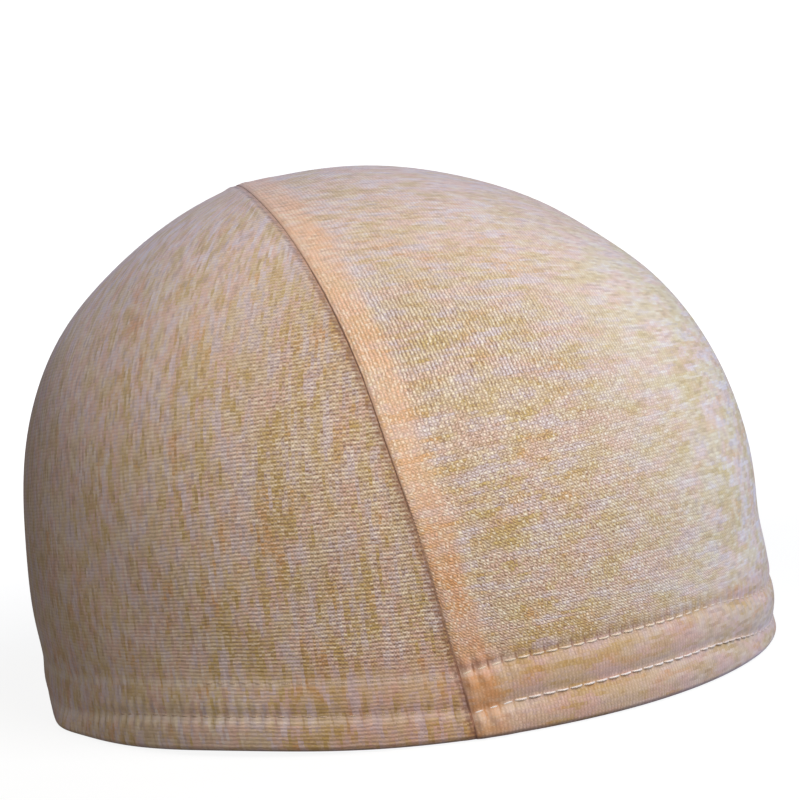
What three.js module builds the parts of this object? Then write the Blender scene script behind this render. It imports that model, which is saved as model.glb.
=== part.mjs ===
// A close-fitting jersey cap of two sewn panels, standing on its rim.
// Millimetres, +Z up. The origin is the centre of the rim on the surface it stands on,
// -Y is the front, where the seam starts, and +X is the side of the right panel.

import * as THREE from 'three';

// Form of the crown. A meridian is a flattened arch from the top of the crown down to the rim.
const HALF_WIDTH = 82.5;
const HALF_LENGTH = 102.5;
const HEIGHT = 111.3;
const ARCH_FALL = 1.7;
const ARCH_FULLNESS = 3.58;
const CROWN_ROUNDING = 0.2;
const RIM_TUCK = 0.015;
const RIM_TUCK_HEIGHT = 60;
const CROWN_LEAN = -4.9;

// Cloth, hem and seam.
const WALL = 1.2;
const HEM_WALL = 2.4;
const HEM_WIDTH = 17.2;
const HEM_STEP = 0.8;
const RIM_CHAMFER = 0.3;
const STITCH_ROWS = [7.5, 16];
const STITCH_GROOVE_DEPTH = 0.4;
const STITCH_GROOVE_HALF_WIDTH = 1.3;
const SEAM_GAP = 0.3;
const SEAM_RIDGE_HEIGHT = 2;
const SEAM_RIDGE_REACH = 25;
const BAND_WIDTH = 7.6;
const BAND_FADE = 2;
const BAND_RISE = 0.6;
const SEAM_DIP = 0.35;
const SEAM_DIP_REACH = 1.5;

// The allowance lies under the right panel, clear of the hem at both ends.
const ALLOWANCE_START = 0.4;
const ALLOWANCE_WIDTH = 7.5;
const ALLOWANCE_THICKNESS = 1.4;
const ALLOWANCE_CLEARANCE = 0.45;
const ALLOWANCE_EDGE_TAPER = 0.45;
const ALLOWANCE_HEM_GAP = 0.6;
const ALLOWANCE_STEPS = 56;
const ALLOWANCE_COLUMNS = 3;

// How far the seam stands to the side of the long axis, as it goes from the top of the crown
// (0) down to the rim (1). Both numbers are fractions of a meridian's length.
const SEAM_PATH = [
  [0, -0.124],
  [0.13, -0.119],
  [0.26, -0.106],
  [0.39, -0.092],
  [0.52, -0.079],
  [0.63, -0.071],
  [0.75, -0.054],
  [0.87, -0.034],
  [1, 0],
];

// Rows of a panel by their distance from the rim, then even rows up to the pole of the panel.
const RIM_ROWS = [
  0, RIM_CHAMFER, 1.6, 4, 6.2, 7.5, 8.8, 11.5, 14.4, 16, HEM_WIDTH, HEM_WIDTH + HEM_STEP, 22,
];
const HEM_ROWS = RIM_ROWS.indexOf(HEM_WIDTH) + 1;
const UPPER_ROWS = 18;
// Fractions of the meridian between which the rows turn into level rings.
const LEVEL_START = 0.7;
const LEVEL_END = 0.86;
// Columns by their distance from the seam at the rim, then even columns around the side.
const SEAM_COLUMNS = [0, 1.2, 3.6, 6.8, 8.8];
const SIDE_COLUMNS = 26;

const MERIDIAN_SAMPLES = 3000;
const NORMAL_STEP = 1e-3;

// Meridian of the side, as radius (a fraction of the half width) and height against arc length.
function sampleMeridian() {
  const lengths = [0];
  const radii = [0];
  const heights = [HEIGHT];
  const floor = CROWN_ROUNDING ** ARCH_FALL;
  const span = (1 + CROWN_ROUNDING ** 2) ** (ARCH_FALL / 2) - floor;
  for (let i = 1; i <= MERIDIAN_SAMPLES; i += 1) {
    const reach = Math.sin((i / MERIDIAN_SAMPLES) * Math.PI / 2);
    const fall = ((reach ** 2 + CROWN_ROUNDING ** 2) ** (ARCH_FALL / 2) - floor) / span;
    const height = HEIGHT * Math.max(0, 1 - fall) ** (1 / ARCH_FULLNESS);
    const low = Math.max(0, 1 - height / RIM_TUCK_HEIGHT);
    const radius = reach * (1 - RIM_TUCK * low ** 2);
    const step = Math.hypot((radius - radii[i - 1]) * HALF_WIDTH, height - heights[i - 1]);
    lengths.push(lengths[i - 1] + step);
    radii.push(radius);
    heights.push(height);
  }
  heights[MERIDIAN_SAMPLES] = 0;
  return { lengths, radii, heights };
}

const meridian = sampleMeridian();
const MERIDIAN_LENGTH = meridian.lengths[MERIDIAN_SAMPLES];

function meridianAt(fraction) {
  const length = Math.min(Math.max(fraction, 0), 1) * MERIDIAN_LENGTH;
  let low = 0;
  let high = MERIDIAN_SAMPLES;
  while (high - low > 1) {
    const middle = (low + high) >> 1;
    if (meridian.lengths[middle] <= length) low = middle;
    else high = middle;
  }
  const share = (length - meridian.lengths[low]) / (meridian.lengths[high] - meridian.lengths[low]);
  return {
    radius: THREE.MathUtils.lerp(meridian.radii[low], meridian.radii[high], share),
    height: THREE.MathUtils.lerp(meridian.heights[low], meridian.heights[high], share),
  };
}

// Smooth curve through the points of the seam's path.
function seamShift(fraction) {
  const x = Math.min(Math.abs(fraction), 1);
  const last = SEAM_PATH.length - 1;
  let i = 0;
  while (i < last - 1 && x > SEAM_PATH[i + 1][0]) i += 1;
  const slope = (k) => {
    if (k === 0) return 0;
    const before = SEAM_PATH[k - 1];
    const after = SEAM_PATH[Math.min(k + 1, last)];
    return (after[1] - before[1]) / (after[0] - before[0]);
  };
  const [x0, y0] = SEAM_PATH[i];
  const [x1, y1] = SEAM_PATH[i + 1];
  const width = x1 - x0;
  const s = (x - x0) / width;
  const fromStart = (1 + 2 * s) * (1 - s) ** 2 * y0 + s * (1 - s) ** 2 * width * slope(i);
  const fromEnd = s ** 2 * (3 - 2 * s) * y1 + s ** 2 * (s - 1) * width * slope(i + 1);
  return fromStart + fromEnd;
}

// Point of the plain crown at chart coordinates (across, along): the distance from the chart's
// centre is the fraction of the meridian, and its direction is the direction in plan.
function crownPoint(across, along) {
  const fraction = Math.hypot(across, along);
  const direction = Math.atan2(along, across);
  const { radius, height } = meridianAt(fraction);
  const lean = CROWN_LEAN * (height / HEIGHT) ** 2;
  return new THREE.Vector3(
    HALF_WIDTH * radius * Math.cos(direction) + lean,
    HALF_LENGTH * radius * Math.sin(direction),
    height,
  );
}

function crownNormal(across, along) {
  const fraction = Math.hypot(across, along);
  const inside = Math.min(1, (1 - NORMAL_STEP) / Math.max(fraction, NORMAL_STEP));
  const x = across * inside;
  const y = along * inside;
  const acrossStep = crownPoint(x + NORMAL_STEP, y).sub(crownPoint(x - NORMAL_STEP, y));
  const alongStep = crownPoint(x, y + NORMAL_STEP).sub(crownPoint(x, y - NORMAL_STEP));
  const normal = acrossStep.cross(alongStep).normalize();
  // Level near the rim, so that every layer ends on the surface that the cap stands on.
  const level = THREE.MathUtils.smoothstep((1 - fraction) * MERIDIAN_LENGTH, 0, HEM_WIDTH);
  normal.z *= level;
  return normal.normalize();
}

// Distance in millimetres from the seam, positive on the right panel.
function distanceFromSeam(across, along) {
  const fraction = Math.hypot(across, along);
  if (fraction < 1e-6) return -seamShift(0) * MERIDIAN_LENGTH;
  const scale = (HALF_WIDTH * meridianAt(fraction).radius) / fraction;
  return (across - seamShift(along)) * scale;
}

// The whole cloth rises to a soft ridge along the seam, which fades out above the hem.
function ridge(across, along) {
  const fromRim = (1 - Math.hypot(across, along)) * MERIDIAN_LENGTH;
  const aboveHem = THREE.MathUtils.smoothstep(fromRim, HEM_WIDTH, 3 * HEM_WIDTH);
  const fromSeam = Math.abs(distanceFromSeam(across, along));
  return aboveHem * SEAM_RIDGE_HEIGHT * Math.exp(-fromSeam / SEAM_RIDGE_REACH);
}

// Low relief of the outer face alone: the band that the allowance lifts on the right panel,
// the dip where the left panel goes under it, and the grooves of the two stitch rows.
function relief(across, along) {
  const fromSeam = distanceFromSeam(across, along);
  const fromRim = (1 - Math.hypot(across, along)) * MERIDIAN_LENGTH;
  const pastBand = THREE.MathUtils.smoothstep(fromSeam, BAND_WIDTH, BAND_WIDTH + BAND_FADE);
  const band = BAND_RISE * (1 - pastBand);
  const dip = -SEAM_DIP * Math.exp(fromSeam / SEAM_DIP_REACH);
  const grooves = STITCH_ROWS.map((row) => {
    const offRow = (fromRim - row) / STITCH_GROOVE_HALF_WIDTH;
    return -STITCH_GROOVE_DEPTH * Math.exp(-(offRow ** 2));
  });
  return grooves.reduce((sum, groove) => sum + groove, fromSeam > 0 ? band : dip);
}

// Point of the cloth at a depth below the outer face, which has depth 0 and carries the relief.
function clothPoint(across, along, depth) {
  const offset = ridge(across, along) + (depth > 0 ? -depth : relief(across, along));
  return crownPoint(across, along).addScaledVector(crownNormal(across, along), offset);
}

function closedMesh(name, positions, triangles, material) {
  const geometry = new THREE.BufferGeometry();
  geometry.setAttribute('position', new THREE.Float32BufferAttribute(positions, 3));
  geometry.setIndex(triangles);
  geometry.computeVertexNormals();
  const mesh = new THREE.Mesh(geometry, material);
  mesh.name = name;
  return mesh;
}

// Angles of the panel's columns, from the front seam (-90 degrees) to the back seam (90 degrees).
function columnAngles() {
  const nearSeam = SEAM_COLUMNS.map((distance) => distance / HALF_WIDTH - Math.PI / 2);
  const start = nearSeam[nearSeam.length - 1];
  const side = [];
  for (let i = 1; i < SIDE_COLUMNS; i += 1) side.push(start * (1 - (2 * i) / SIDE_COLUMNS));
  return [...nearSeam, ...side, ...nearSeam.map((angle) => -angle).reverse()];
}

// Fractions of the meridian for the rows, from the rim up to the row next to the pole.
function rowFractions() {
  const rim = RIM_ROWS.map((distance) => 1 - distance / MERIDIAN_LENGTH);
  const start = rim[rim.length - 1];
  const upper = [];
  for (let i = 1; i < UPPER_ROWS; i += 1) upper.push(start * (1 - i / UPPER_ROWS));
  return [...rim, ...upper];
}

// Chart coordinates of a panel's grid. High up a row is a ring around the pole, which lies on the
// seam, and low down it is a ring at one distance from the rim, as the hem is.
function panelChart(side, fraction, angle) {
  const across = seamShift(fraction) + side * fraction * Math.cos(angle);
  const along = fraction * Math.sin(angle);
  const level = THREE.MathUtils.smoothstep(fraction, LEVEL_START, LEVEL_END);
  const stretch = (fraction / Math.hypot(across, along)) ** level;
  return [across * stretch, along * stretch];
}

// One panel: an outer and an inner sheet of the same grid, joined along the rim and the seam.
// The rows of a sheet close in on a pole, which lies on the seam at the top of the crown.
function makePanel(name, side, material) {
  const angles = columnAngles();
  const fractions = rowFractions();
  const positions = [];
  const triangles = [];

  const addPoint = (across, along, depth) => {
    const point = clothPoint(across, along, depth);
    positions.push(point.x + (side * SEAM_GAP) / 2, point.y, point.z);
    return positions.length / 3 - 1;
  };
  const addSheet = (depthOfRow) => {
    const rows = fractions.map((fraction, row) => angles.map((angle) => {
      const [across, along] = panelChart(side, fraction, angle);
      return addPoint(across, along, depthOfRow(row));
    }));
    const pole = addPoint(seamShift(0), 0, depthOfRow(fractions.length));
    return [...rows, angles.map(() => pole)];
  };
  // The quads next to the pole keep one triangle each.
  const addTriangle = (a, b, c) => {
    if (a === b || b === c || c === a) return;
    if (side > 0) triangles.push(a, b, c);
    else triangles.push(a, c, b);
  };
  const addQuad = (a, b, c, d) => {
    addTriangle(a, b, c);
    addTriangle(a, c, d);
  };

  const chamfer = (row) => (row === 0 ? RIM_CHAMFER : 0);
  const wall = (row) => (row < HEM_ROWS ? HEM_WALL : WALL);
  const outside = addSheet(chamfer);
  const inside = addSheet((row) => wall(row) - chamfer(row));
  const last = angles.length - 1;
  for (let column = 0; column < last; column += 1) {
    const next = column + 1;
    for (let row = 0; row < fractions.length; row += 1) {
      const above = row + 1;
      addQuad(outside[row][column], outside[row][next], outside[above][next], outside[above][column]);
      addQuad(inside[row][next], inside[row][column], inside[above][column], inside[above][next]);
    }
    addQuad(inside[0][column], inside[0][next], outside[0][next], outside[0][column]);
  }
  for (let row = 0; row < fractions.length; row += 1) {
    const above = row + 1;
    addQuad(inside[row][0], outside[row][0], outside[above][0], inside[above][0]);
    addQuad(outside[row][last], inside[row][last], inside[above][last], outside[above][last]);
  }
  return closedMesh(name, positions, triangles, material);
}

// The strip of seam allowance: a closed band that follows the seam under the right panel.
function makeAllowance(name, material) {
  const positions = [];
  const triangles = [];
  const upper = WALL + ALLOWANCE_CLEARANCE;
  const reach = 1 - (HEM_WIDTH + HEM_STEP + ALLOWANCE_HEM_GAP) / MERIDIAN_LENGTH;
  const ring = [];
  for (let i = 0; i <= ALLOWANCE_COLUMNS; i += 1) {
    const taper = i === 0 || i === ALLOWANCE_COLUMNS ? ALLOWANCE_EDGE_TAPER : 0;
    const distance = ALLOWANCE_START + (ALLOWANCE_WIDTH * i) / ALLOWANCE_COLUMNS;
    ring.push({ distance, outer: upper + taper, inner: upper + ALLOWANCE_THICKNESS - taper });
  }
  const section = [
    ...ring.map(({ distance, outer }) => [distance, outer]),
    ...ring.map(({ distance, inner }) => [distance, inner]).reverse(),
  ];

  for (let step = 0; step <= ALLOWANCE_STEPS; step += 1) {
    const along = reach * ((2 * step) / ALLOWANCE_STEPS - 1);
    const fraction = Math.max(Math.hypot(seamShift(along), along), NORMAL_STEP);
    const scale = (HALF_WIDTH * meridianAt(fraction).radius) / fraction;
    for (const [distance, depth] of section) {
      const point = clothPoint(seamShift(along) + distance / scale, along, depth);
      positions.push(point.x + SEAM_GAP / 2, point.y, point.z);
    }
  }

  const count = section.length;
  for (let step = 0; step < ALLOWANCE_STEPS; step += 1) {
    for (let i = 0; i < count; i += 1) {
      const a = step * count + i;
      const b = step * count + ((i + 1) % count);
      triangles.push(a, b, b + count, a, b + count, a + count);
    }
  }
  const end = ALLOWANCE_STEPS * count;
  for (let i = 0; i < ALLOWANCE_COLUMNS; i += 1) {
    const j = count - 1 - i;
    triangles.push(i, j, j - 1, i, j - 1, i + 1);
    triangles.push(end + i, end + i + 1, end + j - 1, end + i, end + j - 1, end + j);
  }
  return closedMesh(name, positions, triangles, material);
}

const leftCloth = new THREE.MeshStandardMaterial({ color: 0xd9bfa6, roughness: 0.9, metalness: 0 });
const rightCloth = new THREE.MeshStandardMaterial({ color: 0xe0c8b0, roughness: 0.9, metalness: 0 });
const allowanceCloth = new THREE.MeshStandardMaterial({ color: 0xe3bf9f, roughness: 0.92, metalness: 0 });

const cap = new THREE.Group();
cap.add(makePanel('left_panel', -1, leftCloth));
cap.add(makePanel('right_panel', 1, rightCloth));
cap.add(makeAllowance('seam_allowance', allowanceCloth));

export default cap;
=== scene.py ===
# %% [markdown]
# # A close-fitting cap of heathered jersey
#
# The cap is sewn from panels of a fine knit. One seam runs over the crown, the rim is a hem that
# is turned up inside, and two rows of stitching hold it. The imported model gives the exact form,
# and this lesson dresses it: the knit with its loops and mottled yarn, the rolled seam, the
# puckered hem and every thread. Lengths are worked out in millimetres and written to the meshes
# in metres.

import bpy
import numpy as np
from mathutils import Matrix, Vector


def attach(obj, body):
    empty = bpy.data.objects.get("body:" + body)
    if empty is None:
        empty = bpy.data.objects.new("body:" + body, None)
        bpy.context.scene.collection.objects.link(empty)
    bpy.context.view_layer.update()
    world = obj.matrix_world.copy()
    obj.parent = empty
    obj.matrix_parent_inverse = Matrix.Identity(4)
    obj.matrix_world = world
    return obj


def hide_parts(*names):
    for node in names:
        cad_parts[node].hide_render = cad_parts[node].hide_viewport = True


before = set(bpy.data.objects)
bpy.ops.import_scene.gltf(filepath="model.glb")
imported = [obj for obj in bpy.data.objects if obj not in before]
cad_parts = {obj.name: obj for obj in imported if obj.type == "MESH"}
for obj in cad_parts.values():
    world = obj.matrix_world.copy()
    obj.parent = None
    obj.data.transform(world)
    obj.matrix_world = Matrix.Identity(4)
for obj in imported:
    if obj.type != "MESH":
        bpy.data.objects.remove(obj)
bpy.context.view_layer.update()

MM = 0.001
print("packed pieces:", ", ".join(sorted(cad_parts)))

# %% [markdown]
# ## The form of the crown
#
# The crown is a flattened arch from the front and an oval from above. One side profile, the
# meridian, is turned around the oval. Two chart coordinates name a point of the cloth: their
# distance from the centre is the share of the meridian from the top (0) to the rim (1), and their
# direction is the direction in plan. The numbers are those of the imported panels.

# %% Named sizes of the form, in millimetres
HALF_WIDTH = 82.5
HALF_LENGTH = 102.5
HEIGHT = 111.3
ARCH_FALL = 1.7
ARCH_FULLNESS = 3.58
CROWN_ROUNDING = 0.2
RIM_TUCK = 0.015
RIM_TUCK_HEIGHT = 60
CROWN_LEAN = -4.9
HEM_WIDTH = 17.2
SEAM_RIDGE_HEIGHT = 2
SEAM_RIDGE_REACH = 25
LEVEL_START = 0.7
LEVEL_END = 0.86
SEAM_PATH = np.array([
    [0, -0.124], [0.13, -0.119], [0.26, -0.106], [0.39, -0.092], [0.52, -0.079],
    [0.63, -0.071], [0.75, -0.054], [0.87, -0.034], [1, 0],
])


def smooth(value, low, high):
    """0 below low, 1 above high, and the cubic 3x^2 - 2x^3 between them."""
    x = np.clip((value - low) / (high - low), 0, 1)
    return x * x * (3 - 2 * x)


def bell(value, middle, width):
    """A bell curve: the exponential of minus the square of the distance over the width."""
    return np.exp(-(((value - middle) / width) ** 2))


# %% The meridian, as radius and height against the distance from the top
def make_meridian(samples=3000):
    """Radius: the sine of a quarter turn. Height falls with its power, drawn full by a root."""
    reach = np.sin(np.linspace(0, 1, samples + 1) * np.pi / 2)
    least = CROWN_ROUNDING ** ARCH_FALL
    span = (1 + CROWN_ROUNDING ** 2) ** (ARCH_FALL / 2) - least
    fall = ((reach ** 2 + CROWN_ROUNDING ** 2) ** (ARCH_FALL / 2) - least) / span
    height = HEIGHT * np.clip(1 - fall, 0, 1) ** (1 / ARCH_FULLNESS)
    height[-1] = 0
    radius = reach * (1 - RIM_TUCK * np.clip(1 - height / RIM_TUCK_HEIGHT, 0, 1) ** 2)
    steps = np.hypot(np.diff(radius * HALF_WIDTH), np.diff(height))
    return np.concatenate([[0], np.cumsum(steps)]), radius, height


LENGTHS, RADII, HEIGHTS = make_meridian()
MERIDIAN = LENGTHS[-1]
print(f"the meridian is {MERIDIAN:.1f} mm long")


def ring_radius(fraction):
    """The meridian's radius, from 0 to 1, at a share of its length."""
    return np.interp(np.clip(fraction, 0, 1) * MERIDIAN, LENGTHS, RADII)


def seam_shift(fraction):
    """Sideways place of the seam: a smooth curve with matching slopes through the seam's table."""
    x = np.minimum(np.abs(fraction), 1)
    xs, ys = SEAM_PATH.T
    slope = np.zeros(len(xs))
    slope[1:-1] = (ys[2:] - ys[:-2]) / (xs[2:] - xs[:-2])
    slope[-1] = (ys[-1] - ys[-2]) / (xs[-1] - xs[-2])
    i = np.clip(np.searchsorted(xs, x) - 1, 0, len(xs) - 2)
    w = xs[i + 1] - xs[i]
    s = (x - xs[i]) / w
    first = (1 + 2 * s) * (1 - s) ** 2 * ys[i] + s * (1 - s) ** 2 * w * slope[i]
    return first + s * s * (3 - 2 * s) * ys[i + 1] + s * s * (s - 1) * w * slope[i + 1]


# %% A point of the crown, the way out of the cloth, and the distances from seam and rim
def crown_point(across, along):
    """The meridian turned around the oval, leaning sideways with the square of its height."""
    fraction = np.hypot(across, along)
    direction = np.arctan2(along, across)
    radius = ring_radius(fraction)
    height = np.interp(np.clip(fraction, 0, 1) * MERIDIAN, LENGTHS, HEIGHTS)
    x = HALF_WIDTH * radius * np.cos(direction) + CROWN_LEAN * (height / HEIGHT) ** 2
    return np.stack(np.broadcast_arrays(x, HALF_LENGTH * radius * np.sin(direction), height), -1)


def crown_normal(across, along, step=1e-3):
    """The cross product of the two slopes of the crown, turned level near the rim."""
    fraction = np.hypot(across, along)
    inside = np.minimum(1, (1 - step) / np.maximum(fraction, step))
    x, y = across * inside, along * inside
    side = crown_point(x + step, y) - crown_point(x - step, y)
    ahead = crown_point(x, y + step) - crown_point(x, y - step)
    normal = np.cross(side, ahead)
    normal /= np.linalg.norm(normal, axis=-1, keepdims=True)
    normal[..., 2] *= smooth((1 - fraction) * MERIDIAN, 0, HEM_WIDTH)
    return normal / np.linalg.norm(normal, axis=-1, keepdims=True)


def from_seam(across, along):
    """Millimetres from the seam along a ring, positive on the right panel."""
    fraction = np.maximum(np.hypot(across, along), 1e-6)
    return (across - seam_shift(along)) * HALF_WIDTH * ring_radius(fraction) / fraction


def from_rim(across, along):
    """Millimetres from the rim, measured along the meridian."""
    return (1 - np.hypot(across, along)) * MERIDIAN


def seam_ridge(rim, distance):
    """How far the crown stands up along the seam: a fading ridge that ends above the hem."""
    height = smooth(rim, HEM_WIDTH, 3 * HEM_WIDTH) * SEAM_RIDGE_HEIGHT
    return height * np.exp(-np.abs(distance) / SEAM_RIDGE_REACH)


def panel_chart(side, fraction, angle):
    """Chart coordinates of a panel: rings around a pole on the seam above, level rings below."""
    across = seam_shift(fraction) + side * fraction * np.cos(angle)
    along = fraction * np.sin(angle)
    level = smooth(fraction, LEVEL_START, LEVEL_END)
    stretch = (fraction / np.maximum(np.hypot(across, along), 1e-9)) ** level
    return across * stretch, along * stretch


# %% The distance around the rim, measured from the seam at the front
ANGLES = np.linspace(-np.pi / 2, np.pi / 2, 2001)
OVAL_SPEED = np.hypot(HALF_WIDTH * np.sin(ANGLES), HALF_LENGTH * np.cos(ANGLES))
OVAL_STEPS = (OVAL_SPEED[1:] + OVAL_SPEED[:-1]) / 2 * np.diff(ANGLES)
OVAL_LENGTHS = np.concatenate([[0], np.cumsum(OVAL_STEPS)])
PANEL_RIM = OVAL_LENGTHS[-1]
print(f"each panel's rim is {PANEL_RIM:.1f} mm long, the whole rim {2 * PANEL_RIM:.1f} mm")


def rim_length(angle):
    """Length of the oval from the front seam to an angle."""
    return np.interp(angle, ANGLES, OVAL_LENGTHS)


def rim_angle(length):
    """Angle at a length of the oval from the front seam."""
    return np.interp(length, OVAL_LENGTHS, ANGLES)


# %% [markdown]
# ## The relief of the sewn cloth
#
# The allowance under the right panel lifts a band along the seam, whose edge rolls over, and the
# left panel dives under it. Each row of hem stitching pulls the cloth in, most at the needle
# holes, and the doubled cloth swells between the rows. The rest is smooth, with very shallow
# waves where the jersey isn't quite taut. All of it is one height, added up from bells and smooth
# steps.

# %% Heights of the relief, in millimetres
WALL = 1.0
HEM_WALL = 2.3
RIGHT, LEFT = 1, -1
LOWER, UPPER = 0, 1
STITCH_ROWS = {RIGHT: (7.6, 16.0), LEFT: (7.5, 14.6)}
SEAM_DIP = {RIGHT: (2.0, 2.2), LEFT: (0.9, 1.4)}
SEAM_DIP_REACH = 12
ROW_WIDTH = 1.3
SIDE_SPAN = 45
STITCH_PITCH = PANEL_RIM / round(PANEL_RIM / 3.15)
BAND_WIDTH = 7.4
BAND_RISE = 0.55
BAND_FADE = (80, 118)
SEAM_DROP = 0.07
SEAM_ROLL = 1.1
HEM_LIFT = 0.9
LIFT_SPAN = (52, 26)
ROW_DROP = {RIGHT: (3.8, 58, 108), LEFT: (2.6, 72, 125)}
EVERYWHERE = 1000
INSIDE = 50
HOLLOWS = (
    ((80, 0, 26), (22, EVERYWHERE, 9), 0.75),
    ((78, 0, 25), (20, EVERYWHERE, 5), 0.12),
    ((54, 0, 91), (12, EVERYWHERE, 10), 0.6),
    ((-12, 0, 112), (18, EVERYWHERE, 10), 0.35),
    ((-58, 0, 92), (18, EVERYWHERE, 16), 0.7),
    ((-82, 0, 11), (16, EVERYWHERE, 8), 0.8),
    ((-80, 0, 48), (12, EVERYWHERE, 22), 0.35),
    ((-84, 8, -0.5), (10, 16, 3.6), 1.9),
    ((-79, -26, 0), (10, 10, 5), -1.2),
)


def stitch_row(side, which, around):
    """From the rim to a stitch row: it dips to the seam and comes down again at the cap's side."""
    from_seam_end = np.minimum(around, PANEL_RIM - around)
    most, start, end = ROW_DROP[side]
    dip = SEAM_DIP[side][which] * np.exp(-from_seam_end / SEAM_DIP_REACH)
    return STITCH_ROWS[side][which] - dip - most * smooth(from_seam_end, start, end)


def hem_relief(side, rim, around):
    """Pull of the two stitch rows, deepest at the holes, the swell between and puffs at one row."""
    lower, upper = stitch_row(side, LOWER, around), stitch_row(side, UPPER, around)
    strength, puffed, gathering, slant = (1.0, upper, 1, 0) if side > 0 else (0.5, lower, 0, 0.45)
    hole = 0.5 + 0.5 * np.cos(2 * np.pi * (around + slant * (rim - puffed)) / STITCH_PITCH)
    uneven = 1 + 0.25 * np.sin(around / 6.7 + 0.8) + 0.2 * np.sin(around / 2.9)
    total = 0.5 * bell(rim, (lower + upper) / 2, 2.9) + 0.5 * bell(rim, lower - 3.9, 2.4)
    beside = bell(around, PANEL_RIM / 2, SIDE_SPAN)
    pulls = (0.5 * (1 - 0.6 * beside), 0.55 * (1 - 0.4 * beside) if side > 0 else 0.2)
    for row, pull in zip((lower, upper), pulls):
        total = total - bell(rim, row, ROW_WIDTH) * pull * (0.7 + 0.3 * hole)
    gathered = gathering * bell(around, 4, 6)
    puff = bell(rim, puffed - 1.7, 1.4) + bell(rim, puffed + 1.9, 1.5)
    puff = puff * (1 + gathered) + bell(rim, lower - 1.8, 1.5) * 2 * gathered
    if side < 0:
        puff = puff * 1.7 + bell(rim, upper, 1.2)
    return strength * (total + puff * (0.22 - 0.3 * hole) * uneven * (1 - 0.6 * beside))


def soft_waves(point):
    """Shallow waves of slack cloth: crossed sine waves of 30 to 60 mm, under half a millimetre."""
    x, y, z = np.moveaxis(point, -1, 0)
    wave = np.sin(x / 9.1 + z / 15.3 + 0.4) * np.sin(y / 12.7 - z / 10.9)
    return 0.16 * wave + 0.14 * np.sin(x / 14.9 - y / 11.3 + z / 21 + 1.9)


def settled(point):
    """How far the cloth sinks: broad hollows, each the product of three bells."""
    return sum(
        depth * np.prod(bell(point, np.array(place), np.array(reach)), axis=-1)
        for place, reach, depth in HOLLOWS
    )


def seam_relief(distance, along):
    """Right: a lifted band with a rolled edge. Left: a drop behind a low roll."""
    lifted = BAND_RISE * (1 - 0.75 * smooth(along, *BAND_FADE))
    band = lifted * (1 - smooth(distance, BAND_WIDTH - 1.2, BAND_WIDTH + 2.2))
    rounding = np.clip(1 - distance / SEAM_ROLL, 0, 1)
    edge = -(SEAM_DROP + 0.62 * lifted) * (1 - np.sqrt(1 - rounding ** 2))
    tuck = 1 + 0.3 * np.sin(2 * np.pi * along / 5.6) + 0.15 * np.sin(along / 3.7)
    right = band + edge + 0.12 * tuck * bell(distance, 1.5, 0.9)
    drop = SEAM_DROP * np.exp(np.minimum(distance, 0) / 0.32)
    return np.where(distance > 0, right, 0.22 * tuck * bell(distance, -1.7, 1.0) - drop)


# %% The outer face of a panel, and the way its cloth folds up at the rim
def outer_face(side, fraction, angle, depth=0.0):
    """A panel's point with ridge and relief, at a depth under the face, and its two distances."""
    across, along = panel_chart(side, fraction, angle)
    distance = from_seam(across, along)
    rim = from_rim(across, along)
    around = rim_length(angle)
    plain = crown_point(across, along)
    relief = hem_relief(side, rim, around) * (1 - 0.5 * bell(distance, 0, 1.2))
    relief = relief + seam_relief(distance, rim) + soft_waves(plain) * smooth(rim, 14, 34)
    relief = relief - settled(plain)
    share = np.clip(1 - depth / HEM_WALL, 0, 1)
    height = seam_ridge(rim, distance) + share * relief - depth
    point = plain + height[..., None] * crown_normal(across, along)
    if side == LEFT:
        point[..., 2] += HEM_LIFT * bell(around, *LIFT_SPAN) * (1 - smooth(rim, 4, 40))
    return point, distance, rim


# %% [markdown]
# ## A mesh from a grid of points
#
# Each panel is one closed skin: an outer sheet down to the rim, a round fold, and an inner sheet
# back up to the top. Both sheets have the same number of rows, so the edges at the seam close
# like a ladder. Three maps are stored with it. The grain map counts wales and courses of the
# knit, the place map holds the millimetres from seam and rim, and the stitch map holds the
# stitches around the rim and the millimetres above the upper row.

# %% Put arrays into a mesh
def new_piece(name, points, quads, triangles, maps):
    """Points in millimetres, quads and triangles as arrays of indices, maps as pairs per point."""
    mesh = bpy.data.meshes.new(name)
    faces = [*np.asarray(quads).tolist(), *np.asarray(triangles).tolist()]
    mesh.from_pydata((np.asarray(points) * MM).tolist(), [], faces)
    corner = np.empty(len(mesh.loops), np.int32)
    mesh.loops.foreach_get("vertex_index", corner)
    for map_name, values in maps.items():
        layer = mesh.uv_layers.new(name=map_name)
        layer.data.foreach_set("uv", np.asarray(values, np.float32)[corner].ravel())
    mesh.polygons.foreach_set("use_smooth", np.ones(len(mesh.polygons), bool))
    mesh.update()
    piece = bpy.data.objects.new(name, mesh)
    bpy.context.scene.collection.objects.link(piece)
    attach(piece, "root")
    print(f"{name}: {len(mesh.polygons)} faces")
    return piece


def face_outwards(points, quads, triangles):
    """Turn all faces over if the volume that they close comes out negative."""
    first = np.concatenate([quads[:, :3], quads[:, [0, 2, 3]], triangles])
    a, b, c = points[first[:, 0]], points[first[:, 1]], points[first[:, 2]]
    if np.einsum("ij,ij->", a, np.cross(b, c)) < 0:
        return quads[:, ::-1], triangles[:, ::-1]
    return quads, triangles


# %% The rows and columns of a panel
def graded(*stretches):
    """Distances from 0 on, in stretches of (end, step), each divided evenly."""
    marks = [np.array([0.0])]
    for end, step in stretches:
        start = marks[-1][-1]
        count = max(1, round((end - start) / step))
        marks.append(start + (end - start) * np.arange(1, count + 1) / count)
    return np.concatenate(marks)


BESIDE_SEAM = ((0.6, 0.15), (2.4, 0.3), (5, 0.5))


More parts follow.
